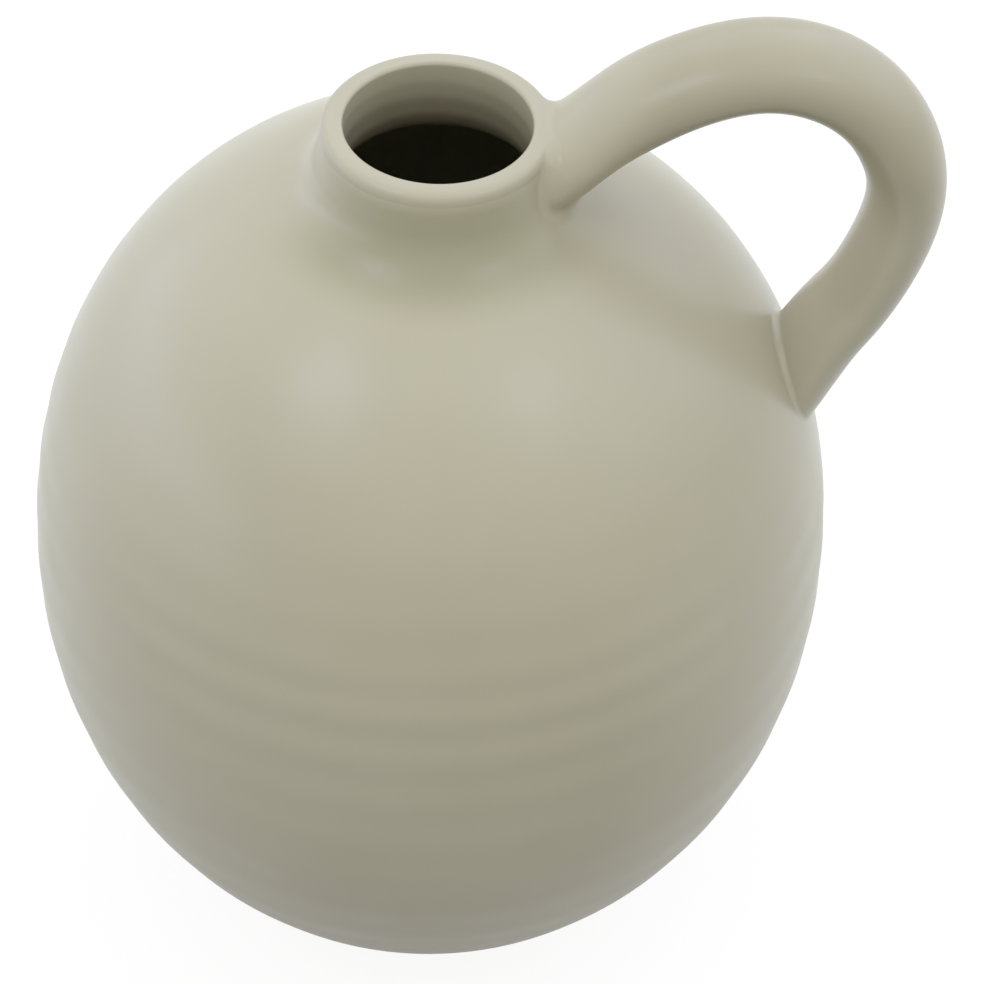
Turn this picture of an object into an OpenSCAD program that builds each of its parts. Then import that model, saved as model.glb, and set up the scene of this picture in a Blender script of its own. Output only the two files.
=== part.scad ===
// Stoneware jug: an egg-shaped thrown body, a short collar with a rolled lip,
// and one pulled loop handle from the lip down to the shoulder.
// Origin on the axis in the plane of the foot, +Z up, handle towards +X. Millimetres.

/* [Body] */
// Widest diameter of the belly
belly_d = 200; // [160:1:240]
// Height of the widest circle above the table
belly_h = 109; // [88:1:130]
// Rise from the widest circle to where the shoulder curve would close
shoulder_rise = 118.6; // [100:0.1:140]
// Roundness of the shoulder, where 2 is a plain ellipse
shoulder_power = 2.234; // [1.9:0.001:2.6]
// Diameter of the body where it meets the foot
base_d = 102.6; // [84:0.1:122]
// Thickness of the thrown wall
wall = 5; // [4:0.5:6.5]
// Thickness of the floor
floor_t = 7; // [5:0.5:10]
// Height of the seam between the two thrown halves, above the widest circle
seam_rise = 28; // [10:1:40]
// Height of the tongue that keys the halves together
seam_tongue_h = 3; // [2:0.5:5]

/* [Foot] */
// Height of the foot ring
foot_h = 6; // [4:0.5:8]
// Width of the ring that touches the table
foot_w = 9; // [6:0.5:14]
// Ledge of the body outside the ring
foot_ledge = 1.8; // [1:0.1:4]
// Depth of the ring's tongue in the underside
foot_tongue_h = 2.5; // [1:0.5:4]
// Rounding of the ring's lower edges
foot_edge = 1.5; // [0.5:0.25:2]

/* [Neck] */
// Bore of the mouth
mouth_d = 44.6; // [36:0.1:54]
// Height of the collar, from its seat on the shoulder to the lip
collar_h = 18.8; // [15:0.1:24]
// Thickness of the lip
lip_t = 5.4; // [4:0.1:6.5]
// Rounding of the lip towards the bore
lip_in_r = 1; // [0.5:0.1:2]
// Height over which the lip rolls outwards and down
lip_roll_h = 3.4; // [2:0.1:5]
// Squareness of the lip's outer edge, where 2 is a plain ellipse
lip_power = 3; // [2:0.1:5]
// Thickness of the collar where it stands on the shoulder
collar_base_t = 8.2; // [6:0.1:10]
// Thickness of the spigot below the collar's seat
spigot_t = 3.2; // [2:0.1:4.5]
// Reach of the coil smoothed into the corner of the neck, out along the shoulder
coil_reach = 9; // [5:0.5:11]
// Height of that coil along the collar's wall, above the corner
coil_h = 8; // [5:0.5:10]

/* [Handle] */
// Distance of the handle's centre line outside the belly, where it reaches furthest
handle_stand_off = 10.6; // [6:0.1:20]
// Drop from the lip to the handle's upper root
upper_root_drop = 9.4; // [8.5:0.1:10]
// Rise of the handle's centre line from its upper root to its crown
handle_rise = 27.7; // [20:0.1:36]
// Height of the lower root above the widest circle
lower_root_rise = 53; // [44:1:62]
// Depth of the lower root's centre below the surface of the shoulder
lower_root_sink = 5.3; // [4:0.1:6.5]
// Thickness of the handle, in the plane of the loop
handle_t = 19.8; // [16:0.1:24]
// Width of the handle, across the loop
handle_w = 27.6; // [22:0.1:33]
// Length of each root that is cut back to fit the jug
root_bury = 13; // [11:0.5:14]
// Thickness of clay pressed round each root
luting_t = 3; // [2:0.5:5]
// Thickness left at the far edge of that clay
luting_edge = 0.8; // [0.6:0.1:1.2]
// Length of the clay along the upper root
upper_luting_l = 15; // [11:1:18]
// Length of the clay along the lower root
lower_luting_l = 15; // [11:1:18]

/* [Finish] */
// Colour of the glaze
glaze_color = "#B9B6A6";
// Colour of the bare clay
clay_color = "#A99A84";

/* [Hidden] */

// Facets of a full turn
turn_fn = 120;
// Straight pieces in a long curve, a short curve and a small rounding
long_steps = 14;
short_steps = 5;
edge_steps = 6;
// Rings along the handle in each stretch of its path, and points round it
stretch_rings = 5;
ring_points = 28;
// Rings along the clay of a luting
luting_rings = 8;

belly_r = belly_d / 2;
base_r = base_d / 2;
foot_r = base_r - foot_ledge;
mouth_r = mouth_d / 2;
lip_r = mouth_r + lip_t;
collar_base_r = mouth_r + collar_base_t;
spigot_r = mouth_r + spigot_t;
coil_r = collar_base_r + coil_reach;
seam_h = belly_h + seam_rise;
floor_h = foot_h + floor_t;
// Drop from the widest circle to where the bowl curve would close, so that it meets the foot
bowl_drop = (belly_h - foot_h) / sqrt(1 - pow(base_r / belly_r, 2));
// The tongues fill the middle third of what they join
tongue_share = 1 / 3;

// Points of the handle's centre line. Across, they are shares of the way from the upper root to
// the outermost point. Up, they are shares of the rise to the crown, and then of the fall from
// the crown to the lower root.
rise_shares = [[0, 0], [0.227, 0.602], [0.542, 1]];
fall_shares = [[0.815, 0.941], [0.966, 0.78], [1, 0.563], [0.906, 0.318], [0.823, 0.203]];
// Swelling of the handle along its path, as shares of its thickness and of its width: it is
// pressed flat and wide at the collar
thickness_shares = [[0, 0.865], [0.5, 0.88], [1, 0.985], [2, 0.965], [4, 0.985], [5, 0.935],
    [6, 0.912], [7, 0.955], [8, 1.02]];
width_shares = [[0, 1.13], [0.5, 1], [1, 1], [2, 0.965], [4, 0.985], [5, 0.935],
    [6, 0.912], [7, 0.955], [8, 1.02]];
// How the pressed clay sits: more of it inside the loop than outside
luting_shift_share = 0.6;

function steps(n) = [for (i = [0:n]) i / n];

// The outer surface is two formulas that meet at the widest circle. The inner one is the same
// pair with each size less by the wall.
function shoulder_point(a, inset) =
    [(belly_r - inset) * cos(a),
     belly_h + (shoulder_rise - inset) * pow(sin(a), 2 / shoulder_power)];
function bowl_point(a, inset) =
    [(belly_r - inset) * cos(a), belly_h - (bowl_drop - inset) * sin(a)];
function shoulder_angle_at_h(h, inset) =
    asin(pow((h - belly_h) / (shoulder_rise - inset), shoulder_power / 2));
function shoulder_angle_at_r(r, inset) = acos(r / (belly_r - inset));
function bowl_angle_at_h(h, inset) = asin((belly_h - h) / (bowl_drop - inset));
function shoulder_arc(a0, a1, inset, n) =
    [for (s = steps(n)) shoulder_point(a0 + (a1 - a0) * s, inset)];
function bowl_arc(a0, a1, inset, n) =
    [for (s = steps(n)) bowl_point(a0 + (a1 - a0) * s, inset)];
function shoulder_r(h) = shoulder_point(shoulder_angle_at_h(h, 0), 0)[0];

// Angles of the foot, the seam, the coil's edge and the collar's seat on the outer surface
base_a = bowl_angle_at_h(foot_h, 0);
seam_a = shoulder_angle_at_h(seam_h, 0);
coil_a = shoulder_angle_at_r(coil_r, 0);
seat_a = shoulder_angle_at_r(collar_base_r, 0);
seat_h = shoulder_point(seat_a, 0)[1];
// Angles of the seam, the mouth's opening and the floor on the inner surface
seam_in_a = shoulder_angle_at_h(seam_h, wall);
spigot_in_a = shoulder_angle_at_r(spigot_r, wall);
floor_in_a = bowl_angle_at_h(floor_h, wall);
spigot_h = shoulder_point(spigot_in_a, wall)[1];

// A tongue on a flat joint: both pieces share these corners
function tongue(r_out, r_in, h, height) =
    let (step = (r_out - r_in) * tongue_share)
    [[r_out - step, h], [r_out - step, h + height], [r_in + step, h + height], [r_in + step, h]];
seam_tongue = tongue(shoulder_point(seam_a, 0)[0], shoulder_point(seam_in_a, wall)[0],
    seam_h, seam_tongue_h);
foot_tongue = tongue(foot_r, foot_r - foot_w, foot_h, foot_tongue_h);

// The collar's outer wall runs straight from under the lip to the shoulder
rim_h = seat_h + collar_h;
lip_base_h = rim_h - lip_roll_h;
collar_slope = (collar_base_r - lip_r) / (lip_base_h - seat_h);
function collar_wall_r(h) = lip_r + (lip_base_h - h) * collar_slope;

// The coil's face is one curve, tangent to the collar's wall at its top and to the shoulder
// at its foot
coil_foot = shoulder_point(coil_a, 0);
coil_top = [collar_wall_r(seat_h + coil_h), seat_h + coil_h];
coil_rise = -shoulder_rise * 2 / shoulder_power * coil_r / pow(belly_r, 2)
    * pow(1 - pow(coil_r / belly_r, 2), 1 / shoulder_power - 1);
coil_corner_r = (lip_r + collar_slope * (lip_base_h - coil_foot[1] + coil_rise * coil_r))
    / (1 + collar_slope * coil_rise);
coil_corner = [coil_corner_r, coil_foot[1] + coil_rise * (coil_corner_r - coil_r)];
function coil_face() =
    [for (s = steps(edge_steps))
        pow(1 - s, 2) * coil_foot + 2 * s * (1 - s) * coil_corner + pow(s, 2) * coil_top];

// The lip rolls over from its outer side to the bore
function lip_outside() =
    [for (s = steps(edge_steps))
        [mouth_r + lip_in_r + (lip_r - mouth_r - lip_in_r) * pow(cos(s * 90), 2 / lip_power),
         lip_base_h + lip_roll_h * pow(sin(s * 90), 2 / lip_power)]];
function lip_inside() =
    [for (s = steps(edge_steps))
        [mouth_r + lip_in_r - lip_in_r * sin(s * 90), rim_h - lip_in_r + lip_in_r * cos(s * 90)]];

// The outer surface from above the widest circle to the seam, from above that to the coil, and
// under the coil to the collar
function below_seam() = shoulder_arc(seam_a / short_steps, seam_a, 0, short_steps - 1);
function above_seam() =
    shoulder_arc(seam_a + (coil_a - seam_a) / long_steps, coil_a, 0, long_steps - 1);
function under_coil() =
    shoulder_arc(coil_a + (seat_a - coil_a) / short_steps, seat_a, 0, short_steps - 1);

module turned(points) {
    rotate_extrude($fn = turn_fn) polygon(points);
}

// Lower half: the bowl with its floor, up to the seam
module lower_body() {
    color(glaze_color) turned(concat(
        [[0, foot_h], foot_tongue[3], foot_tongue[2], foot_tongue[1], foot_tongue[0]],
        bowl_arc(base_a, 0, 0, long_steps),
        below_seam(),
        seam_tongue,
        shoulder_arc(seam_in_a, 0, wall, short_steps),
        bowl_arc(floor_in_a / long_steps, floor_in_a, wall, long_steps - 1),
        [[0, floor_h]]));
}

// Upper half: from the seam to the opening that takes the collar
module upper_body() {
    color(glaze_color) turned(concat(
        [seam_tongue[3], seam_tongue[2], seam_tongue[1], seam_tongue[0]],
        [shoulder_point(seam_a, 0)],
        above_seam(),
        under_coil(),
        [[spigot_r, seat_h]],
        shoulder_arc(spigot_in_a, seam_in_a, wall, long_steps)));
}

// Ring that the jug stands on
module foot_ring() {
    inner_r = foot_r - foot_w;
    color(clay_color) turned(concat(
        [for (s = steps(edge_steps))
            [inner_r + foot_edge - foot_edge * cos(s * 90), foot_edge - foot_edge * sin(s * 90)]],
        [for (s = steps(edge_steps))
            [foot_r - foot_edge + foot_edge * sin(s * 90), foot_edge - foot_edge * cos(s * 90)]],
        [[foot_r, foot_h]], foot_tongue, [[inner_r, foot_h]]));
}

// Collar with the rolled lip, the true bore of the mouth and the spigot under it
module neck_collar() {
    color(glaze_color) turned(concat(
        [[mouth_r, spigot_h], [spigot_r, spigot_h], [spigot_r, seat_h], [collar_base_r, seat_h]],
        lip_outside(),
        lip_inside()));
}

// Coil of clay smoothed into the corner between collar and shoulder
module neck_luting_coil() {
    color(glaze_color) turned(concat(
        [for (i = [short_steps - 1:-1:0]) under_coil()[i]],
        coil_face()));
}

// Everything inside the jug's outer surface, and the air over the mouth, which no clay enters
module jug_envelope() {
    over_mouth_h = rim_h + handle_rise;
    turned(concat(
        [[0, belly_h], [belly_r, belly_h]],
        below_seam(),
        above_seam(),
        coil_face(),
        lip_outside(),
        [[mouth_r + lip_in_r, over_mouth_h], [0, over_mouth_h]]));
}

// The handle's centre line in the plane of the loop
upper_root = [collar_wall_r(rim_h - upper_root_drop), rim_h - upper_root_drop];
lower_root_h = belly_h + lower_root_rise;
lower_root = [shoulder_r(lower_root_h) - lower_root_sink, lower_root_h];
crown_h = upper_root[1] + handle_rise;
handle_reach = belly_r + handle_stand_off - upper_root[0];
path = concat(
    [for (p = rise_shares) upper_root + [p[0] * handle_reach, p[1] * handle_rise]],
    [for (p = fall_shares)
        [upper_root[0] + p[0] * handle_reach, lower_root_h + p[1] * (crown_h - lower_root_h)]],
    [lower_root]);
stretches = len(path) - 1;
function path_knot(i) =
    i < 0 ? 2 * path[0] - path[1]
    : i > stretches ? 2 * path[stretches] - path[stretches - 1]
    : path[i];
function stretch_point(a, b, c, d, u) =
    (2 * b + (c - a) * u + (2 * a - 5 * b + 4 * c - d) * pow(u, 2)
        + (3 * b - a - 3 * c + d) * pow(u, 3)) / 2;
function stretch_way(a, b, c, d, u) =
    (c - a + 2 * (2 * a - 5 * b + 4 * c - d) * u + 3 * (3 * b - a - 3 * c + d) * pow(u, 2)) / 2;
function inside_path(t) = min(max(t, 0), stretches);
function stretch_of(t) = min(floor(inside_path(t)), stretches - 1);
function path_way(t) =
    let (k = stretch_of(t))
    stretch_way(path_knot(k - 1), path_knot(k), path_knot(k + 1), path_knot(k + 2),
        inside_path(t) - k);
// Before its first point and after its last one the path runs straight on
function path_point(t) =
    let (k = stretch_of(t))
    stretch_point(path_knot(k - 1), path_knot(k), path_knot(k + 1), path_knot(k + 2),
        inside_path(t) - k) + (t - inside_path(t)) * path_way(t);

// One oval ring round the path. Extra clay makes it wider, and shifts it into the loop.
function ring(t, extra) =
    let (way = path_way(t) / norm(path_way(t)),
         out = [-way[1], way[0]],
         half_t = handle_t / 2 * lookup(t, thickness_shares) + extra * (1 - luting_shift_share),
         half_w = handle_w / 2 * lookup(t, width_shares) + extra,
         centre = path_point(t) - out * extra * luting_shift_share)
    [for (i = [0:ring_points - 1])
        let (a = 360 * i / ring_points, p = centre + out * half_t * cos(a))
        [p[0], half_w * sin(a), p[1]]];

module swept(rings) {
    n = ring_points;
    last = len(rings) - 1;
    sides = [for (k = [0:last - 1], i = [0:n - 1])
        let (a = k * n + i, b = k * n + (i + 1) % n)
        each [[a, b, a + n], [b, b + n, a + n]]];
    start_cap = [for (i = [1:n - 2]) [0, i + 1, i]];
    end_cap = [for (i = [1:n - 2]) [last * n, last * n + i, last * n + i + 1]];
    polyhedron(points = [for (r = rings) each r], faces = concat(sides, start_cap, end_cap));
}

// Lengths along the path's straight ends, as a share of a stretch
start_bury = root_bury / norm(path_way(0));
end_bury = root_bury / norm(path_way(stretches));

module handle_blank() {
    swept(concat(
        [ring(-start_bury, 0)],
        [for (i = [0:stretches * stretch_rings]) ring(i / stretch_rings, 0)],
        [ring(stretches + end_bury, 0)]));
}

// Pulled loop handle, its roots cut to sit on the collar and on the shoulder
module handle() {
    color(glaze_color) difference() {
        handle_blank();
        jug_envelope();
    }
}

// Clay pressed round a root: thickest at the jug, thinning out along the handle
module luting(root_t, bury, length) {
    reach = length / norm(path_way(root_t));
    turn = root_t == 0 ? 1 : -1;
    color(glaze_color) difference() {
        swept([for (s = turn > 0 ? [-1:luting_rings] : [luting_rings:-1:-1])
            let (share = max(s, 0) / luting_rings,
                 t = s < 0 ? root_t - turn * bury : root_t + turn * reach * share)
            ring(t, luting_edge + (luting_t - luting_edge) * pow(1 - share, 2))]);
        handle_blank();
        jug_envelope();
    }
}

module upper_handle_luting() {
    luting(0, start_bury, upper_luting_l);
}

module lower_handle_luting() {
    luting(stretches, end_bury, lower_luting_l);
}

lower_body();
upper_body();
foot_ring();
neck_collar();
neck_luting_coil();
handle();
upper_handle_luting();
lower_handle_luting();
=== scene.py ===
"""Looks of the stoneware jug: thrown body, collar with a rolled lip, pulled loop handle.

Lengths are millimetres in the row frame, +Z up and the handle towards +X, until a mesh is made.
"""

import math

import bpy
import numpy as np
from mathutils import Matrix, Vector

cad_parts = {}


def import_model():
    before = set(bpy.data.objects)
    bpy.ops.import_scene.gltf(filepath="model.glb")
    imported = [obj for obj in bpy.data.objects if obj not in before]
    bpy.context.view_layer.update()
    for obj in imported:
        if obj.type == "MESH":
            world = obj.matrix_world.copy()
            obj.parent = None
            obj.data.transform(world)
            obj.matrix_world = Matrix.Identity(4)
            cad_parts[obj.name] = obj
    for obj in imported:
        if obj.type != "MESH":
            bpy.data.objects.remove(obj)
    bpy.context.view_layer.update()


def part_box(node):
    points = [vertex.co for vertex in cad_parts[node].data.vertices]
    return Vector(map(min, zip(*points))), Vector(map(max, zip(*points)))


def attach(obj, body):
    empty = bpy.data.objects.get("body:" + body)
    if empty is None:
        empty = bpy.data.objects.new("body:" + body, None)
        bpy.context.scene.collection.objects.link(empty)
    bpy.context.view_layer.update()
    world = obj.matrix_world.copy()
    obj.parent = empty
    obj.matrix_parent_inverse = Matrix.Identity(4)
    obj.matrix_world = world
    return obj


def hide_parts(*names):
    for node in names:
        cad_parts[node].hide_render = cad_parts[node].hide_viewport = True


MM = 0.001

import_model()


def low(node):
    """Lowest corner of a CAD node, in millimetres."""
    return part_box(node)[0] / MM


def high(node):
    """Highest corner of a CAD node, in millimetres."""
    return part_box(node)[1] / MM


# Body: what the CAD nodes' boxes give is read from them, and the rest repeats the CAD's sizes
BELLY_R = high("lower_body").x
BELLY_H = 109.0
SHOULDER_RISE = 118.6
SHOULDER_POWER = 2.234
BASE_R = 51.3
BASE_ROUND = 1.5
WALL = 5.0
FLOOR_T = 7.0
SEAM_H = low("upper_body").z
SEAM_TONGUE_H = high("lower_body").z - SEAM_H

# Foot
FOOT_R = high("foot_ring").x
FOOT_H = low("lower_body").z
FOOT_W = 9.0
FOOT_TONGUE_H = high("foot_ring").z - FOOT_H
FOOT_EDGE = 1.5

# Neck
RIM_H = high("neck_collar").z
COLLAR_BASE_R = high("neck_collar").x
COLLAR_H = 18.8
COIL_R = high("neck_luting_coil").x
COIL_H = 8.0
MOUTH_R = 22.3
LIP_T = 5.4
LIP_IN_R = 1.0
LIP_ROLL_H = 3.4
LIP_POWER = 3.0
SPIGOT_T = 3.2
# The bore opens into the belly round this radius, from this height
FLARE_R = 10.0
FLARE_H = 227.3

# Handle
HANDLE_STAND_OFF = 10.6
UPPER_ROOT_DROP = 9.4
HANDLE_RISE = 27.7
LOWER_ROOT_RISE = 53.0
LOWER_ROOT_SINK = 5.3
HANDLE_T = 19.8
HANDLE_W = 27.6
ROOT_BURY = 13.0
# Places on the handle's centre line, as shares of its reach and of its rise or its fall. Those of the
# fall make an evener bend than the CAD's, and keep within 0.3 mm of its line.
RISE_SHARES = [(0, 0), (0.227, 0.602), (0.542, 1)]
FALL_SHARES = [(0.815, 0.941), (0.966, 0.78), (1.001, 0.569), (0.912, 0.329), (0.818, 0.195)]
# Thickness and width along the centre line, as shares, with the place counted in those steps
SWELL_PLACES = [0, 0.5, 1, 2, 4, 5, 6, 7, 8]
THICKNESS_SHARES = [0.865, 0.88, 0.985, 0.965, 0.985, 0.935, 0.912, 0.955, 1.02]
WIDTH_SHARES = [1.13, 1, 1, 0.965, 0.985, 0.935, 0.912, 0.955, 1.02]
SWELL_EASE = 0.15

# Radius of the clay smoothed into each joint of the handle, outside the loop and inside it
UPPER_FILLET = (4.0, 3.5)
LOWER_FILLET = (1.5, 1.5)

# Camera, as the photograph was taken
CAMERA_ELEVATION = 44.30
CAMERA_DISTANCE = 1024.8
CAMERA_YAW = -0.871
CAMERA_PITCH = -0.523
CAMERA_ROLL = 1.064
CAMERA_LENS = 146.34
SENSOR_WIDTH = 36.0

# Mesh steps
CURVE_POINTS = 800
LIP_POINTS = 400
ARC_POINTS = 200
COLUMNS = 192
OUTER_STEP = 1.25
INNER_STEP = 4.0
NECK_STEP = 0.6
HANDLE_ROWS = 150
HANDLE_SIDES = 64
JOINT_SIDES = 192
JOINT_OUTLINE_STEP = 0.25
FILLET_STEPS = 10
LUTING_BACK_ROWS = 5
CAP_SHARES = (0.67, 0.33, 0)
SAME_PLACE = 1e-6

LIP_R = MOUTH_R + LIP_T
SPIGOT_R = MOUTH_R + SPIGOT_T
FLOOR_H = FOOT_H + FLOOR_T
BOWL_DROP = (BELLY_H - FOOT_H) / math.sqrt(1 - (BASE_R / BELLY_R) ** 2)
LIP_BASE_H = RIM_H - LIP_ROLL_H
SEAT_H = RIM_H - COLLAR_H
COLLAR_SLOPE = (COLLAR_BASE_R - LIP_R) / (LIP_BASE_H - SEAT_H)


# Camera

def photo_camera():
    """Camera at the photograph's place, without shift or depth of field."""
    e = math.radians(CAMERA_ELEVATION)
    level = Matrix(((1, 0, 0), (0, math.sin(e), math.cos(e)), (0, math.cos(e), -math.sin(e))))
    yawed = Matrix.Rotation(math.radians(CAMERA_YAW), 3, "Y") @ level
    pitched = Matrix.Rotation(-math.radians(CAMERA_PITCH), 3, "X") @ yawed
    right, up, forward = Matrix.Rotation(-math.radians(CAMERA_ROLL), 3, "Z") @ pitched
    place = Vector((0, -math.cos(e), math.sin(e))) * CAMERA_DISTANCE + Vector((0, 0, BELLY_H))
    camera = bpy.data.objects.new("photo_camera", bpy.data.cameras.new("photo_camera"))
    camera.data.sensor_width = SENSOR_WIDTH
    camera.data.lens = CAMERA_LENS
    camera.matrix_world = (Matrix.Translation(place * MM)
                           @ Matrix((right, up, -forward)).transposed().to_4x4())
    bpy.context.scene.collection.objects.link(camera)
    bpy.context.scene.camera = camera


photo_camera()


# Curves in the plane of radius and height, drawn with the clay on their left

def shoulder(start, end, inset=0.0):
    a = np.linspace(start, end, CURVE_POINTS)
    return np.stack([
        (BELLY_R - inset) * np.cos(a),
        BELLY_H + (SHOULDER_RISE - inset) * np.sin(a) ** (2 / SHOULDER_POWER)], 1)


def bowl(start, end, inset=0.0):
    a = np.linspace(start, end, CURVE_POINTS)
    return np.stack([
        (BELLY_R - inset) * np.cos(a),
        BELLY_H - (BOWL_DROP - inset) * np.sin(a)], 1)


def shoulder_angle(height, inset=0.0):
    return math.asin(((height - BELLY_H) / (SHOULDER_RISE - inset)) ** (SHOULDER_POWER / 2))


def bowl_angle(height, inset=0.0):
    return math.asin((BELLY_H - height) / (BOWL_DROP - inset))


def shoulder_radius(height):
    return BELLY_R * math.cos(shoulder_angle(height))


def collar_wall_radius(height):
    return LIP_R + (LIP_BASE_H - height) * COLLAR_SLOPE


def arc(centre, radii, start, end):
    """An elliptical arc between two angles in degrees."""
    a = np.radians(np.linspace(start, end, ARC_POINTS))
    return np.stack([centre[0] + radii[0] * np.cos(a), centre[1] + radii[1] * np.sin(a)], 1)


def squared_arc(centre, radii, power):
    """A quarter turn from the outer side to the top, squarer than an ellipse's."""
    a = np.linspace(0, math.pi / 2, LIP_POINTS)
    return np.stack([centre[0] + radii[0] * np.cos(a) ** (2 / power),
                     centre[1] + radii[1] * np.sin(a) ** (2 / power)], 1)


def bend(start, corner, end):
    """A curve from start to end that leaves and arrives along the corner's two sides."""
    s = np.linspace(0, 1, ARC_POINTS)[:, None]
    return ((1 - s) ** 2 * np.array(start) + 2 * s * (1 - s) * np.array(corner)
            + s ** 2 * np.array(end))


def line(*corners):
    return np.array(corners, float)


def chain(*curves):
    """One line through several curves, with the points that they share taken once."""
    points = np.concatenate(curves)
    apart = np.linalg.norm(np.diff(points, axis=0), axis=1) > SAME_PLACE
    return points[np.concatenate([[True], apart])]


def run_along(curve):
    """Length along a curve up to each of its points."""
    return np.concatenate([[0], np.cumsum(np.linalg.norm(np.diff(curve, axis=0), axis=1))])


def rows_along(curve, step):
    """Rows at even steps along a curve: radius, height, and the normal's radius and height."""
    run = run_along(curve)
    at = np.linspace(0, run[-1], max(2, math.ceil(run[-1] / step) + 1))
    slope = np.gradient(curve, run, axis=0)
    place = np.stack([np.interp(at, run, curve[:, i]) for i in (0, 1)], 1)
    way = np.stack([np.interp(at, run, slope[:, i]) for i in (0, 1)], 1)
    way /= np.linalg.norm(way, axis=1)[:, None]
    return np.concatenate([place, np.stack([way[:, 1], -way[:, 0]], 1)], 1)


def smooth_table(places, values, width):
    """A table at even steps, smoothed by a bell curve of a width, so that nothing turns at a corner."""
    steps = 10
    reach = 3 * steps
    margin = 4 * width
    at = np.arange(places[0] - margin, places[-1] + margin, width / steps)
    kernel = np.exp(-0.5 * (np.arange(-reach, reach + 1) / steps) ** 2)
    padded = np.pad(np.interp(at, places, values), len(kernel) // 2, mode="edge")
    return at, np.convolve(padded, kernel / kernel.sum(), mode="valid")


# Outlines of the jug, from the foot up the outside, over the lip and down the inside
BASE_A = bowl_angle(FOOT_H)
SEAM_A = shoulder_angle(SEAM_H)
SEAM_IN_A = shoulder_angle(SEAM_H, WALL)
COIL_A = math.acos(COIL_R / BELLY_R)
SEAT_A = math.acos(COLLAR_BASE_R / BELLY_R)
FLOOR_IN_A = bowl_angle(FLOOR_H, WALL)

base_edge = bowl(BASE_A, BASE_A - BASE_ROUND / BELLY_R)[-1]
base_round = bend((BASE_R - BASE_ROUND, FOOT_H), (BASE_R, FOOT_H), base_edge)
bowl_outside = bowl(BASE_A - BASE_ROUND / BELLY_R, 0)
below_seam = shoulder(0, SEAM_A)
above_seam = shoulder(SEAM_A, COIL_A)
under_coil = shoulder(COIL_A, SEAT_A)

coil_foot = above_seam[-1]
coil_top = np.array([collar_wall_radius(SEAT_H + COIL_H), SEAT_H + COIL_H])
shoulder_way = under_coil[1] - under_coil[0]
wall_way = np.array([-COLLAR_SLOPE, 1])
coil_corner = coil_foot + shoulder_way * np.linalg.solve(
    np.stack([shoulder_way, -wall_way], 1), coil_top - coil_foot)[0]
coil_face = bend(coil_foot, coil_corner, coil_top)
collar_wall = line(coil_top, (LIP_R, LIP_BASE_H))
collar_foot = line((COLLAR_BASE_R, SEAT_H), coil_top)
lip_outside = squared_arc((MOUTH_R + LIP_IN_R, LIP_BASE_H), (LIP_T - LIP_IN_R, LIP_ROLL_H), LIP_POWER)
lip_inside = arc((MOUTH_R + LIP_IN_R, RIM_H - LIP_IN_R), (LIP_IN_R, LIP_IN_R), 90, 180)
bore = line((MOUTH_R, RIM_H - LIP_IN_R), (MOUTH_R, FLARE_H))

flare_a = 180 + math.degrees(math.acos(1 - SPIGOT_T / FLARE_R))
flare_centre = (MOUTH_R + FLARE_R, FLARE_H)
flare = arc(flare_centre, (FLARE_R, FLARE_R), 180, flare_a)


def flare_into_ceiling():
    """The flare's lower part, and the angle at which the ceiling of the belly takes over."""
    ceiling = shoulder(shoulder_angle(FLARE_H - FLARE_R, WALL), SEAT_A, WALL)
    reach = np.linalg.norm(ceiling - flare_centre, axis=1)
    nearest = ceiling[np.argmin(reach)]
    end = 180 + math.degrees(math.atan2(FLARE_H - nearest[1], flare_centre[0] - nearest[0]))
    return arc(flare_centre, (FLARE_R, FLARE_R), flare_a, end), math.acos(nearest[0] / (BELLY_R - WALL))


flare_under, CEILING_A = flare_into_ceiling()
ceiling = shoulder(CEILING_A, SEAM_IN_A, WALL)
inside_below_seam = shoulder(SEAM_IN_A, 0, WALL)
bowl_inside = bowl(0, FLOOR_IN_A, WALL)


# Relief: how far the surface lies outside its curve, by height and by turn about the axis.
# The turn is 0 at the front and a quarter turn at the handle.
CREST_HEIGHTS = [-100, -86, -72, -58, -42.7, -26.6, -10.3, 4.2, 18.5, 31.7, 43.2, 56, 70, 84, 98, 112]
RING_HEIGHTS = [-103, -80, -50, -10, 15, 30, 45, 62, 95, 104]
RING_DEPTHS = [0, 0.09, 0.16, 0.15, 0.18, 0.25, 0.12, 0.06, 0.03, 0]
RING_EASE = 5.0
# Round the handle's lower root the rings are smoothed away, and come back over the fade
JOINT_CLEAR = 22
JOINT_FADE = 25


def ease(share):
    """A share held between 0 and 1 that leaves and arrives gently."""
    share = np.clip(share, 0, 1)
    return share * share * (3 - 2 * share)


crest_number = smooth_table(CREST_HEIGHTS, np.arange(len(CREST_HEIGHTS), dtype=float), RING_EASE)
ring_depth = smooth_table(RING_HEIGHTS, RING_DEPTHS, RING_EASE)


def throwing_rings(height, turn):
    """Spiral left by the potter's fingers, smoothed away where the handle joins."""
    rise = height - BELLY_H
    wave = (np.cos(2 * math.pi * np.interp(rise, *crest_number) - turn) - 1) / 2
    from_joint = np.hypot(BELLY_R * (turn - math.pi / 2), rise - LOWER_ROOT_RISE)
    return wave * np.interp(rise, *ring_depth) * ease((from_joint - JOINT_CLEAR) / JOINT_FADE)


# Rings in the bore
BORE_PITCH = 5.0
BORE_CREST = 233.5
BORE_DEPTH = 0.08
BORE_FADE = 6.0


def bore_rings(height, turn):
    """Spiral in the bore of the neck, cut into its wall."""
    wave = (1 - np.cos(2 * math.pi * (height - BORE_CREST) / BORE_PITCH - turn)) / 2
    above = ease((RIM_H - LIP_IN_R - height) / BORE_FADE)
    return -BORE_DEPTH * wave * above * ease((height - flare[-1][1]) / BORE_FADE)


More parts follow.
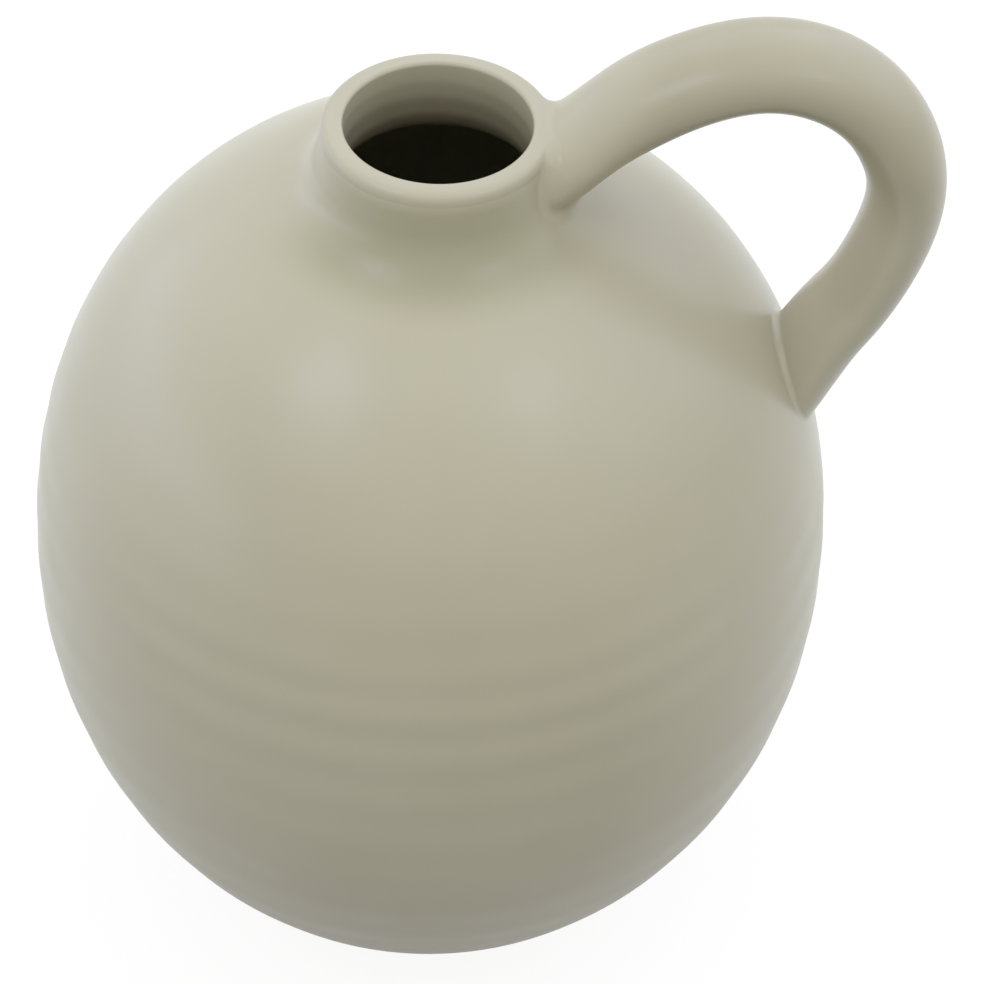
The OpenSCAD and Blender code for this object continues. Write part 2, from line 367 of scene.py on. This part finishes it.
def turned(rows, relief=None):
    """Points and normals of rings round the axis, one for each row."""
    theta = np.linspace(0, 2 * math.pi, COLUMNS, endpoint=False)[None]
    turn = (theta + 1.5 * math.pi) % (2 * math.pi) - math.pi
    radius, height, out, up = (rows[:, i, None] for i in range(4))
    depth = along = around = np.zeros((len(rows), COLUMNS))
    if relief:
        nudge = 0.01
        depth = relief(height, turn)
        along = (relief(height + nudge * out, turn) - relief(height - nudge * out, turn)) / (2 * nudge)
        around = (relief(height, turn + nudge) - relief(height, turn - nudge)) / (2 * nudge)
    side = -around / np.maximum(radius, 1)
    radial = out + up * along
    place = np.broadcast_arrays((radius + out * depth) * np.cos(theta),
                                (radius + out * depth) * np.sin(theta), height + up * depth)
    normal = np.stack(np.broadcast_arrays(radial * np.cos(theta) - side * np.sin(theta),
                                          radial * np.sin(theta) + side * np.cos(theta),
                                          up - out * along), 2)
    return np.stack(place, 2), normal / np.linalg.norm(normal, axis=2)[:, :, None]


def flat(*corners):
    """Blocks for the straight stretches between corners, each with its own normal."""
    return [turned(rows_along(line(a, b), BELLY_R)) for a, b in zip(corners[:-1], corners[1:])]


# Meshes

def banded_mesh(name, blocks):
    """Closed mesh of rings joined by bands.

    A block is the points and the normals of its rings. It starts on the ring where the block
    before it ended. A ring with all its points in one place is a pole, and a mesh that doesn't
    start at a pole ends on the ring where it started.
    """
    points, faces, normals = [], [], []
    count = 0
    first = last = None
    closes = np.ptp(blocks[0][0][0], axis=0).max() > SAME_PLACE
    for number, (places, facing) in enumerate(blocks):
        for i, ring in enumerate(places):
            if i == 0 and last is not None:
                index = last
            elif closes and number == len(blocks) - 1 and i == len(places) - 1:
                index = first
            else:
                pole = np.ptp(ring, axis=0).max() < SAME_PLACE
                index = np.full(len(ring), count) if pole else np.arange(count, count + len(ring))
                points.append(ring[:1] if pole else ring)
                count += 1 if pole else len(ring)
            if i > 0:
                corners = [last, np.roll(last, -1), np.roll(index, -1), index]
                turns = [facing[i - 1], np.roll(facing[i - 1], -1, 0),
                         np.roll(facing[i], -1, 0), facing[i]]
                kept = [0, 1, 2, 3]
                if last[0] == last[1]:
                    kept = [0, 2, 3]
                elif index[0] == index[1]:
                    kept = [0, 1, 3]
                faces.extend(np.stack([corners[k] for k in kept], 1).tolist())
                normals.append(np.stack([turns[k] for k in kept], 1).reshape(-1, 3))
            first = index if first is None else first
            last = index
    mesh = bpy.data.meshes.new(name)
    mesh.from_pydata((np.concatenate(points) * MM).tolist(), [], faces)
    mesh.polygons.foreach_set("use_smooth", [True] * len(mesh.polygons))
    mesh.normals_split_custom_set(np.concatenate(normals).tolist())
    piece = bpy.data.objects.new(name, mesh)
    bpy.context.scene.collection.objects.link(piece)
    return piece


def tongue(outer_r, inner_r, height, rise):
    """Corners of the tongue in the middle third of a flat joint, from outside to inside."""
    step = (outer_r - inner_r) / 3
    return [(outer_r, height), (outer_r - step, height), (outer_r - step, height + rise),
            (inner_r + step, height + rise), (inner_r + step, height), (inner_r, height)]


seam_tongue = tongue(below_seam[-1][0], inside_below_seam[0][0], SEAM_H, SEAM_TONGUE_H)
foot_tongue = tongue(FOOT_R, FOOT_R - FOOT_W, FOOT_H, FOOT_TONGUE_H)


def lower_body():
    return banded_mesh("lower_bowl", [
        *flat((0, FOOT_H), *foot_tongue[::-1], base_round[0]),
        turned(rows_along(base_round, NECK_STEP / 2)),
        turned(rows_along(chain(bowl_outside, below_seam), OUTER_STEP), throwing_rings),
        *flat(*seam_tongue),
        turned(rows_along(chain(inside_below_seam, bowl_inside), INNER_STEP)),
        *flat(bowl_inside[-1], (0, FLOOR_H))])


def upper_body():
    return banded_mesh("shoulder", [
        turned(rows_along(above_seam, OUTER_STEP), throwing_rings),
        turned(rows_along(under_coil, OUTER_STEP)),
        *flat((COLLAR_BASE_R, SEAT_H), (SPIGOT_R, SEAT_H), flare_under[0]),
        turned(rows_along(flare_under, NECK_STEP)),
        turned(rows_along(ceiling, INNER_STEP)),
        *flat(*seam_tongue[::-1])])


def neck_collar():
    return banded_mesh("collar", [
        turned(rows_along(collar_foot, OUTER_STEP)),
        turned(rows_along(collar_wall, OUTER_STEP)),
        turned(rows_along(chain(lip_outside, lip_inside), NECK_STEP / 2)),
        turned(rows_along(bore, NECK_STEP), bore_rings),
        turned(rows_along(flare, NECK_STEP), bore_rings),
        *flat(flare[-1], (SPIGOT_R, SEAT_H), (COLLAR_BASE_R, SEAT_H))])


def neck_coil():
    return banded_mesh("neck_coil", [
        turned(rows_along(coil_face, NECK_STEP)),
        turned(rows_along(collar_foot[::-1], NECK_STEP)),
        turned(rows_along(under_coil[::-1], NECK_STEP))])


def foot():
    inner_r = FOOT_R - FOOT_W
    inner_edge = arc((inner_r + FOOT_EDGE, FOOT_EDGE), (FOOT_EDGE, FOOT_EDGE), 180, 270)
    outer_edge = arc((FOOT_R - FOOT_EDGE, FOOT_EDGE), (FOOT_EDGE, FOOT_EDGE), 270, 360)
    return banded_mesh("foot", [
        turned(rows_along(inner_edge, NECK_STEP / 2)),
        *flat(inner_edge[-1], outer_edge[0]),
        turned(rows_along(outer_edge, NECK_STEP / 2)),
        *flat(outer_edge[-1], *foot_tongue, inner_edge[0])])


# Handle

def knot_slopes(knots, start, end):
    """Slopes at evenly spaced knots, so that a cubic curve through them has no jump in its bend."""
    matrix = np.eye(len(knots))
    wanted = np.zeros_like(knots)
    wanted[0], wanted[-1] = start, end
    for i in range(1, len(knots) - 1):
        matrix[i, i - 1:i + 2] = (1, 4, 1)
        wanted[i] = 3 * (knots[i + 1] - knots[i - 1])
    return np.linalg.solve(matrix, wanted)


def on_curve(knots, slopes, t):
    """Places on the cubic curve through knots, which runs straight on beyond its ends."""
    inside = np.clip(t, 0, len(knots) - 1)
    k = np.minimum(inside.astype(int), len(knots) - 2)
    u = (inside - k)[..., None]
    place = ((1 + 2 * u) * (1 - u) ** 2 * knots[k] + u * (1 - u) ** 2 * slopes[k]
             + u ** 2 * (3 - 2 * u) * knots[k + 1] - u ** 2 * (1 - u) * slopes[k + 1])
    beyond = (t - inside)[..., None]
    return place + beyond * np.where(beyond < 0, slopes[0], slopes[-1])


upper_root = np.array([collar_wall_radius(RIM_H - UPPER_ROOT_DROP), RIM_H - UPPER_ROOT_DROP])
lower_root_h = BELLY_H + LOWER_ROOT_RISE
lower_root = np.array([shoulder_radius(lower_root_h) - LOWER_ROOT_SINK, lower_root_h])
handle_reach = BELLY_R + HANDLE_STAND_OFF - upper_root[0]
handle_fall = upper_root[1] + HANDLE_RISE - lower_root_h
path = np.array(
    [upper_root + (x * handle_reach, z * HANDLE_RISE) for x, z in RISE_SHARES]
    + [(upper_root[0] + x * handle_reach, lower_root_h + z * handle_fall) for x, z in FALL_SHARES]
    + [lower_root])
path_slopes = knot_slopes(path, path[1] - path[0], path[-1] - path[-2])
PATH_END = len(path) - 1
thicknesses = smooth_table(SWELL_PLACES, HANDLE_T * np.array(THICKNESS_SHARES), SWELL_EASE)
widths = smooth_table(SWELL_PLACES, HANDLE_W * np.array(WIDTH_SHARES), SWELL_EASE)


def handle_point(t, a, share=1.0):
    """Points of the handle's oval section at path places t and angles a, drawn in by a share."""
    nudge = 1e-4
    t = t + 0 * a
    centre = on_curve(path, path_slopes, t)
    way = on_curve(path, path_slopes, t + nudge) - on_curve(path, path_slopes, t - nudge)
    way /= np.linalg.norm(way, axis=-1)[..., None]
    out = share * np.interp(t, *thicknesses) / 2 * np.cos(a)
    across = share * np.interp(t, *widths) / 2 * np.sin(a)
    return np.stack([centre[..., 0] - way[..., 1] * out, across,
                     centre[..., 1] + way[..., 0] * out], -1)


def handle_normal(t, a):
    nudge = 1e-3
    around = handle_point(t, a + nudge) - handle_point(t, a - nudge)
    along = handle_point(t + nudge, a) - handle_point(t - nudge, a)
    normal = np.cross(along, around)
    return normal / np.linalg.norm(normal, axis=-1)[..., None]


def section_angles(count):
    """Angles round the section, from the outside of the loop, in the order that faces outwards."""
    return -np.linspace(0, 2 * math.pi, count, endpoint=False)


# The jug's outline where the handle can meet it, from just above the belly's widest place
LOWEST_JOINT_A = 0.1
joined_outline = chain(
    shoulder(LOWEST_JOINT_A, COIL_A), coil_face, collar_wall, lip_outside, lip_inside, bore)
outline_rows = rows_along(joined_outline, JOINT_OUTLINE_STEP)


def jug_surface(points):
    """For each point, its distance outside the jug, and the nearest place there with its normal."""
    radius = np.hypot(points[..., 0], points[..., 1])
    place = np.stack([radius, points[..., 2]], -1).reshape(-1, 1, 2)
    start, step = outline_rows[:-1, :2], np.diff(outline_rows[:, :2], axis=0)
    share = np.clip(((place - start) * step).sum(2) / (step ** 2).sum(1), 0, 1)
    gap = place - start - share[..., None] * step
    distance = np.linalg.norm(gap, axis=2)
    k = np.argmin(distance, axis=1)
    n = np.arange(len(k))
    share = share[n, k][:, None]
    nearest = start[k] + share * step[k]
    facing = outline_rows[k, 2:] * (1 - share) + outline_rows[k + 1, 2:] * share
    signed = distance[n, k] * np.where((gap[n, k] * facing).sum(1) < 0, -1, 1)
    spread = (points[..., :2] / radius[..., None]).reshape(-1, 2)
    nearest = np.concatenate([spread * nearest[:, :1], nearest[:, 1:]], 1)
    normal = np.concatenate([spread * facing[:, :1], facing[:, 1:]], 1)
    normal /= np.linalg.norm(normal, axis=1)[:, None]
    return signed.reshape(radius.shape), nearest.reshape(points.shape), normal.reshape(points.shape)


SEARCH_STEPS = 80
SEARCH_HALVINGS = 24


def first_touch(start, end, gap):
    """Path places, going from start to end, at which the gap closes on each rail."""
    ts = np.linspace(start, end, SEARCH_STEPS)
    gaps = np.stack([gap(t) for t in ts])
    open_so_far = ~(gaps < 0).any(axis=0)
    shut = np.where(open_so_far, np.argmin(gaps, axis=0), np.argmax(gaps < 0, axis=0))
    before, after = ts[np.maximum(shut - 1, 0)], ts[shut]
    for _ in range(SEARCH_HALVINGS):
        middle = (before + after) / 2
        closed = gap(middle) < 0
        before, after = np.where(closed, before, middle), np.where(closed, middle, after)
    return after


# How far outside a root the search for its joint starts, in steps of the centre line
ROOT_SEARCH = 1.6


def search_span(root):
    """Path places from well outside a root to well inside the jug."""
    inwards = -1 if root == 0 else 1
    buried = ROOT_BURY / np.linalg.norm(path_slopes[root])
    return root - inwards * ROOT_SEARCH, root + inwards * buried


def root_cut(root, a, share=1.0):
    """Where the handle's rails at angles a meet the jug."""
    return first_touch(*search_span(root), lambda t: jug_surface(handle_point(t, a, share))[0])


def handle():
    a = section_angles(HANDLE_SIDES)
    start, end = root_cut(0, a), root_cut(PATH_END, a)
    t = start + (end - start) * np.linspace(0, 1, HANDLE_ROWS)[:, None]
    side = handle_point(t, a)
    caps = []
    for root, rim in ((0, side[0]), (PATH_END, side[-1])):
        inner = [handle_point(root_cut(root, a, share), a, share) for share in CAP_SHARES]
        rings = np.stack([rim] + inner)
        caps.append((rings, -jug_surface(rings)[2]))
    opened, shut = caps
    return banded_mesh("loop_handle", [
        (opened[0][::-1], opened[1][::-1]), (side, handle_normal(t, a)), shut])


def luting(name, root, radii):
    """Clay smoothed into the corner round a root: the track of a ball between handle and jug."""
    a = section_angles(JOINT_SIDES)
    radius = radii[1] + (radii[0] - radii[1]) * (1 + np.cos(a)) / 2

    def ball(t):
        return handle_point(t, a) + handle_normal(t, a) * radius[:, None]

    touch = first_touch(*search_span(root), lambda t: jug_surface(ball(t))[0] - radius)
    cut = root_cut(root, a)
    centre = ball(touch)
    on_handle = handle_point(touch, a) - centre
    on_jug = jug_surface(centre)[1] - centre
    cosine = ((on_handle * on_jug).sum(1)
              / np.linalg.norm(on_handle, axis=1) / np.linalg.norm(on_jug, axis=1))
    angle = np.arccos(cosine)[:, None]
    share = np.linspace(0, 1, FILLET_STEPS + 1)[:, None, None]
    spokes = (np.sin((1 - share) * angle) * on_handle + np.sin(share * angle) * on_jug) / np.sin(angle)
    face = (centre + spokes, -spokes / np.linalg.norm(spokes, axis=2)[..., None])
    share = np.linspace(0, 1, LUTING_BACK_ROWS)[:, None]
    back_t = cut + (touch - cut) * share
    back = (handle_point(back_t, a), -handle_normal(back_t, a))
    under_line = face[0][-1] + (back[0][0] - face[0][-1]) * share[..., None]
    _, under_places, under_normals = jug_surface(under_line)
    under = (under_places, -under_normals)
    blocks = [face, under, back]
    if root == 0:
        blocks = [(places[::-1], normals[::-1]) for places, normals in (face, back, under)]
    return banded_mesh(name, blocks)


# Materials

def node_maker(tree):
    """A function that adds a node to the tree, with its inputs linked or set."""
    def node(kind, inputs=(), **settings):
        made = tree.nodes.new(kind)
        for key, value in settings.items():
            setattr(made, key, value)
        for socket, value in dict(inputs).items():
            if isinstance(value, bpy.types.NodeSocket):
                tree.links.new(value, made.inputs[socket])
            else:
                made.inputs[socket].default_value = value
        return made

    return node


def node_material(name):
    """A new material with its node tree, its shader and its node maker."""
    material = bpy.data.materials.new(name)
    material.use_nodes = True
    tree = material.node_tree
    return material, tree, tree.nodes["Principled BSDF"], node_maker(tree)


def noise(node, place, scale, detail, roughness=0.5):
    """Noise with a scale in waves for each metre."""
    return node("ShaderNodeTexNoise", {
        "Vector": place, "Scale": scale, "Detail": detail, "Roughness": roughness}).outputs["Fac"]


# The range that a noise mostly keeps to
NOISE_RANGE = (0.3, 0.7)


def spread(node, value, wanted, given=NOISE_RANGE):
    """A noise's given range brought to the wanted one."""
    return node("ShaderNodeMapRange", {
        "Value": value, "From Min": given[0], "From Max": given[1],
        "To Min": wanted[0], "To Max": wanted[1]}).outputs["Result"]


def mixed(node, share, first, second, blend="MIX"):
    """Second colour over the first, by a share."""
    return node("ShaderNodeMix", {0: share, 6: first, 7: second},
                data_type="RGBA", blend_type=blend).outputs[2]


def bumped(node, height, strength, depth, **under):
    """Normal of a surface with a relief of a depth in millimetres, over the normal under it."""
    return node("ShaderNodeBump", {
        "Height": height, "Strength": strength, "Distance": depth * MM, **under}).outputs["Normal"]


# Glaze: two colours in faint clouds. Noises are waves for each metre and detail, and bumps are
# strength and depth in millimetres.
GLAZE_PALE = (0.515, 0.487, 0.372, 1)
GLAZE_DEEP = (0.485, 0.455, 0.342, 1)
GLAZE_CLOUDS = (16, 3)
GLAZE_ROUGHNESS = (0.28, 0.34)
GLAZE_GLOSS_PATCHES = (45, 4)
GLAZE_IOR = 1.5
RIPPLE = (220, 2)
RIPPLE_BUMP = (0.25, 0.1)
GRAIN = (2600, 1)
GRAIN_BUMP = (0.25, 0.02)

# Share of its colour that the glaze keeps where shade is painted into it: at the front of the hollow
# below the lip, on the crown of the handle, and deep in the bore
HOLLOW_PAINTED_SHADE = (0.78, 0.78, 0.70, 1)
CROWN_PAINTED_SHADE = (0.88, 0.87, 0.84, 1)
BORE_PAINTED_SHADE = (0.50, 0.47, 0.42, 1)

# Those places fade in from the first radius, height or place across to the second
OUTSIDE_BORE = (MOUTH_R + 3.0, MOUTH_R + 4.0)
BELOW_LIP = (LIP_BASE_H + 1.0, LIP_BASE_H - 3.0)
ABOVE_SHOULDER = (SEAT_H - 7.0, SEAT_H)
AT_FRONT = (-8.0, -30.0)
CROWN_HEIGHT = (212.0, 238.0)
CROWN_RADIUS = (40.0, 56.0)
DOWN_BORE = (RIM_H - 2.0, FLARE_H - 2.0)


def glaze_material():
    """Satin grey-beige glaze: faint clouds of colour, with painted shade in places, and an uneven
    gloss.
    """
    material, tree, shader, node = node_material("satin_glaze")
    place = node("ShaderNodeTexCoord").outputs["Object"]
    clouds = spread(node, noise(node, place, *GLAZE_CLOUDS), (0, 1))
    colour = mixed(node, clouds, GLAZE_DEEP, GLAZE_PALE)
    axes = node("ShaderNodeSeparateXYZ", {0: place}).outputs
    height = axes["Z"]
    across = node("ShaderNodeCombineXYZ", {0: axes["X"], 1: axes["Y"]}).outputs[0]
    radius = node("ShaderNodeVectorMath", {0: across}, operation="LENGTH").outputs["Value"]

    def between(value, start, end):
        """0 at the start and 1 at the end, both in millimetres, with gentle ends."""
        return node("ShaderNodeMapRange", {
            "Value": value, "From Min": start * MM, "From Max": end * MM},
            interpolation_type="SMOOTHSTEP").outputs["Result"]

    def both(first, second):
        return node("ShaderNodeMath", {0: first, 1: second}, operation="MULTIPLY").outputs[0]

    outside_front = both(between(radius, *OUTSIDE_BORE), between(axes["Y"], *AT_FRONT))
    in_hollow = both(between(height, *BELOW_LIP), between(height, *ABOVE_SHOULDER))
    # Painted shade: the front of the hollow below the lip is darkened in the colour
    painted_front_shade = both(outside_front, in_hollow)
    # Painted shade: the crown of the handle is darkened in the colour
    crown = both(between(height, *CROWN_HEIGHT), between(radius, *CROWN_RADIUS))
    # Painted shade: the bore is darkened in the colour, more the deeper it goes
    inside = both(between(radius, *OUTSIDE_BORE[::-1]), between(height, *DOWN_BORE))
    # Painted shade is multiplied into the colour at these three places
    for share, kept in ((painted_front_shade, HOLLOW_PAINTED_SHADE), (crown, CROWN_PAINTED_SHADE), (inside, BORE_PAINTED_SHADE)):
        colour = mixed(node, share, colour, kept, "MULTIPLY")
    tree.links.new(colour, shader.inputs["Base Color"])
    patches = noise(node, place, *GLAZE_GLOSS_PATCHES)
    tree.links.new(spread(node, patches, GLAZE_ROUGHNESS), shader.inputs["Roughness"])
    shader.inputs["IOR"].default_value = GLAZE_IOR
    ripple = bumped(node, noise(node, place, *RIPPLE), *RIPPLE_BUMP)
    grain = bumped(node, noise(node, place, *GRAIN), *GRAIN_BUMP, Normal=ripple)
    tree.links.new(grain, shader.inputs["Normal"])
    return material


# Bare clay, with its values in the same order. The grog shows where its noise is in a narrow range.
CLAY_PALE = (0.44, 0.35, 0.25, 1)
CLAY_DEEP = (0.31, 0.235, 0.16, 1)
CLAY_CLOUDS = (60, 6)
CLAY_ROUGHNESS = (0.75, 0.95)
CLAY_PATCHES = (300, 3)
GROG_COLOUR = (0.16, 0.12, 0.085, 1)
GROG = (1400, 1)
GROG_RANGE = (0.66, 0.74)
GROG_SHARE = 0.8
GRIT = (900, 4, 0.7)
GRIT_BUMP = (0.6, 0.3)


def clay_material():
    """Bare fired stoneware: dry, gritty and flecked with grog."""
    material, tree, shader, node = node_material("bare_stoneware")
    place = node("ShaderNodeTexCoord").outputs["Object"]
    clouds = spread(node, noise(node, place, *CLAY_CLOUDS), (0, 1))
    colour = mixed(node, clouds, CLAY_DEEP, CLAY_PALE)
    grog = spread(node, noise(node, place, *GROG), (0, GROG_SHARE), GROG_RANGE)
    tree.links.new(mixed(node, grog, colour, GROG_COLOUR), shader.inputs["Base Color"])
    patches = noise(node, place, *CLAY_PATCHES)
    tree.links.new(spread(node, patches, CLAY_ROUGHNESS), shader.inputs["Roughness"])
    grit = bumped(node, noise(node, place, *GRIT), *GRIT_BUMP)
    tree.links.new(grit, shader.inputs["Normal"])
    return material


# Room

FLOOR_SIZE = 6000.0
# The floor's own glow and its grey, as the camera sees it and as the glaze mirrors it. Only the
# grey part takes a shadow. Soft light bounces from a darker grey.
FLOOR_SEEN = (0.90, 0.13)
FLOOR_MIRRORED = (0.20, 0.85)
FLOOR_BOUNCE = 0.12
WHITE = (1, 1, 1, 1)
# Soft light of the surroundings, a little warm, while the lamps are cooler
WORLD_LIGHT = (0.86, 0.845, 0.755, 1)
LAMP_COLOUR = (0.60, 0.69, 1.0)


def light_path(node):
    """Whether a ray comes from the camera, and whether it comes off a glossy or clear surface."""
    path_info = node("ShaderNodeLightPath").outputs
    mirrored = node("ShaderNodeMath", {
        0: path_info["Is Glossy Ray"], 1: path_info["Is Transmission Ray"]}, operation="MAXIMUM")
    return path_info["Is Camera Ray"], mirrored.outputs[0]


def floor():
    """Pale floor: white where it is seen, with the object's shadow, and grey for bounced light."""
    mesh = bpy.data.meshes.new("floor")
    half = FLOOR_SIZE * MM / 2
    corners = [(-half, -half, 0), (half, -half, 0), (half, half, 0), (-half, half, 0)]
    mesh.from_pydata(corners, [], [(0, 1, 2, 3)])
    piece = bpy.data.objects.new("floor", mesh)
    bpy.context.scene.collection.objects.link(piece)
    material, tree, shader, node = node_material("pale_floor")
    tree.nodes.remove(shader)

    def paper(grey, glow=0.0):
        """A matt grey with a glow of its own."""
        matt = node("ShaderNodeBsdfDiffuse", {"Color": (grey,) * 3 + (1,)})
        light = node("ShaderNodeEmission", {"Strength": glow})
        return node("ShaderNodeAddShader", {0: matt.outputs[0], 1: light.outputs[0]}).outputs[0]

    seen, mirrored = light_path(node)
    shown = paper(FLOOR_BOUNCE)
    for share, (glow, grey) in ((mirrored, FLOOR_MIRRORED), (seen, FLOOR_SEEN)):
        shown = node("ShaderNodeMixShader", {0: share, 1: shown, 2: paper(grey, glow)}).outputs[0]
    tree.links.new(shown, tree.nodes["Material Output"].inputs["Surface"])
    material.cycles.emission_sampling = "NONE"
    mesh.materials.append(material)


def world():
    """White surroundings, weaker as a light than as what is seen."""
    sky = bpy.data.worlds.new("studio")
    bpy.context.scene.world = sky
    sky.use_nodes = True
    tree = sky.node_tree
    node = node_maker(tree)
    seen, mirrored = light_path(node)
    shown = node("ShaderNodeMath", {0: seen, 1: mirrored}, operation="MAXIMUM").outputs[0]
    colour = mixed(node, shown, WORLD_LIGHT, WHITE)
    tree.links.new(colour, tree.nodes["Background"].inputs["Color"])
    sky.cycles.sampling_method = "NONE"


# Lamps: azimuth from the front towards the handle, elevation, distance, width, height, and level,
# which is how bright the lamp alone makes white paper that faces it, in its strongest channel
LAMPS = [
    ("rear_softbox", 180, 50, 1400, 1500, 900, 0.15),
    ("right_softbox", 90, 50, 1400, 1400, 1400, 0.11),
    ("right_rear_softbox", 125, 30, 1400, 1800, 1100, 0.20),
    ("left_rear_softbox", -125, 30, 1400, 1800, 1100, 0.075),
    ("left_strip", -95, 8, 1300, 2200, 380, 0.19),
    ("left_spot", -54, 53, 1400, 500, 500, 0.12),
    ("right_spot", 50, 53, 1400, 300, 300, 0.05),
]


def lamp(name, azimuth, elevation, distance, width, height, level):
    """An area lamp that faces the middle of the belly."""
    light = bpy.data.lights.new(name, "AREA")
    light.shape = "RECTANGLE"
    light.size = width * MM
    light.size_y = height * MM
    light.color = LAMP_COLOUR
    light.energy = level * math.pi ** 2 * (distance * MM) ** 2
    a, e = math.radians(azimuth), math.radians(elevation)
    towards = Vector((math.sin(a) * math.cos(e), -math.cos(a) * math.cos(e), math.sin(e)))
    piece = bpy.data.objects.new(name, light)
    piece.location = (towards * distance + Vector((0, 0, BELLY_H))) * MM
    piece.rotation_mode = "QUATERNION"
    piece.rotation_quaternion = towards.to_track_quat("Z", "Y")
    bpy.context.scene.collection.objects.link(piece)


# The jug

glaze = glaze_material()
clay = clay_material()
PIECES = [
    (lower_body, "lower_body", "glaze", glaze),
    (upper_body, "upper_body", "glaze", glaze),
    (neck_collar, "neck_collar", "glaze", glaze),
    (neck_coil, "neck_luting_coil", "glaze", glaze),
    (handle, "handle", "glaze", glaze),
    (lambda: luting("upper_joint", 0, UPPER_FILLET), "upper_handle_luting", "glaze", glaze),
    (lambda: luting("lower_joint", PATH_END, LOWER_FILLET), "lower_handle_luting", "glaze", glaze),
    (foot, "foot_ring", "bare_clay", clay),
]
for make, node_name, slot, material in PIECES:
    piece = make()
    piece.data.materials.append(material)
    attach(piece, "root")
    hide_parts(node_name)

floor()
world()
for settings in LAMPS:
    lamp(*settings)

bpy.context.scene.view_settings.view_transform = "Standard"
